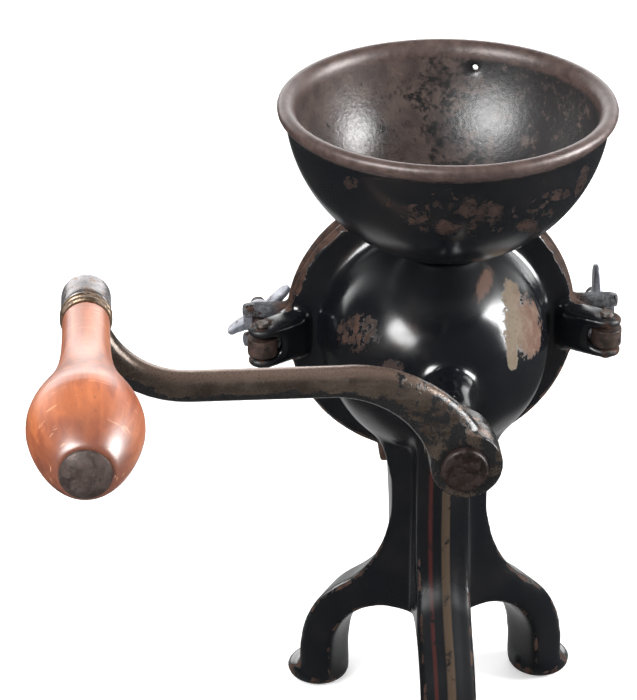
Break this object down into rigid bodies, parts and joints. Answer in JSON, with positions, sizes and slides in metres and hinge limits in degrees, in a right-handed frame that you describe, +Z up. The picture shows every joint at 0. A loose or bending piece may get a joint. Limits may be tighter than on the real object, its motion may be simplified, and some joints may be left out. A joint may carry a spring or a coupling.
{
  "type": "manual coffee grinder",
  "caption": "Hand-cranked table coffee mill: cast body on a tripod of arched legs, bowl hopper, S-shaped crank with a wooden grip, rear cover held by swing-out eye bolts with wing nuts.",
  "frame": {"origin": "on the table plane under the hopper's axis, at the centre of the circle through the three feet", "axes": "+Z up along the hopper's axis; the crank shaft lies along Y with the crank towards -Y and the rear cover towards +Y; +X to the right seen from the crank"},
  "size_m": [0.2241, 0.2741, 0.2619],
  "materials": {
    "black_enamel": "glossy black enamel, chipped to brown rust at edges",
    "burr_iron": "machined grey iron",
    "plain_steel": "plain turned steel",
    "rusty_steel": "rust-brown steel",
    "nut_steel": "blue-grey steel",
    "worn_iron": "bare worn iron with remains of black paint",
    "dark_bronzed_steel": "dark mottled steel",
    "varnished_wood": "orange-brown glossy varnish",
    "brass_ring": "dull brass"
  },
  "bodies": {
    "mill_body": {"body_casting": "black_enamel", "hopper": "black_enamel", "rear_cover": "black_enamel", "fixed_burr": "burr_iron", "burr_screws": "plain_steel", "left_hinge_pin": "plain_steel", "right_hinge_pin": "plain_steel"},
    "crank": {"crank_shaft": "plain_steel", "feed_worm": "burr_iron", "worm_pin": "plain_steel", "turning_burr": "burr_iron", "burr_pin": "plain_steel", "thrust_collar": "worn_iron", "collar_pin": "plain_steel", "crank_arm": "worn_iron", "crank_cap": "rusty_steel", "grip_spindle": "dark_bronzed_steel"},
    "grip": {"wooden_grip": "varnished_wood", "grip_ferrule": "brass_ring"},
    "left_bolt": {"left_eye_bolt": "rusty_steel"},
    "left_washer_ring": {"left_washer": "nut_steel"},
    "left_nut": {"left_wing_nut": "nut_steel"},
    "right_bolt": {"right_eye_bolt": "rusty_steel"},
    "right_washer_ring": {"right_washer": "nut_steel"},
    "right_nut": {"right_wing_nut": "nut_steel"},
    "ball": {"thrust_ball": "plain_steel"},
    "screw": {"adjusting_screw": "plain_steel", "lock_nut": "plain_steel"}
  },
  "joints": [
    {"name": "crank_turn", "type": "hinge", "parent": "mill_body", "child": "crank", "pos_m": [0, 0, 0.152], "axis": [0, 1, 0], "continuous": true},
    {"name": "grip_spin", "type": "hinge", "parent": "crank", "child": "grip", "pos_m": [-0.1315, -0.13, 0.218], "axis": [0, 1, 0], "continuous": true},
    {"name": "left_bolt_swing", "type": "hinge", "parent": "mill_body", "child": "left_bolt", "pos_m": [-0.0665, 0.0255, 0.151], "axis": [0, 0, 1], "range_deg": [0, 100]},
    {"name": "left_washer_slide", "type": "slide", "parent": "left_bolt", "child": "left_washer_ring", "axis": [0, 1, 0], "range_m": [0, 0.005]},
    {"name": "left_nut_spin", "type": "hinge", "parent": "left_washer_ring", "child": "left_nut", "pos_m": [-0.0665, 0.052, 0.151], "axis": [0, 1, 0], "range_deg": [0, 1800]},
    {"name": "right_bolt_swing", "type": "hinge", "parent": "mill_body", "child": "right_bolt", "pos_m": [0.0665, 0.0255, 0.151], "axis": [0, 0, -1], "range_deg": [0, 100]},
    {"name": "right_washer_slide", "type": "slide", "parent": "right_bolt", "child": "right_washer_ring", "axis": [0, 1, 0], "range_m": [0, 0.005]},
    {"name": "right_nut_spin", "type": "hinge", "parent": "right_washer_ring", "child": "right_nut", "pos_m": [0.0665, 0.052, 0.151], "axis": [0, 1, 0], "range_deg": [0, 1800]},
    {"name": "ball_slide", "type": "slide", "parent": "mill_body", "child": "ball", "axis": [0, 1, 0], "range_m": [0, 0.0045]},
    {"name": "screw_turn", "type": "hinge", "parent": "ball", "child": "screw", "pos_m": [0, 0.07, 0.152], "axis": [0, 1, 0], "range_deg": [0, 1080]}
  ],
  "couplings": [
    {"joint": "left_nut_spin", "follows": "left_washer_slide", "rad_per_m": 6283.2},
    {"joint": "right_nut_spin", "follows": "right_washer_slide", "rad_per_m": 6283.2},
    {"joint": "screw_turn", "follows": "ball_slide", "rad_per_m": 4188.8}
  ]
}
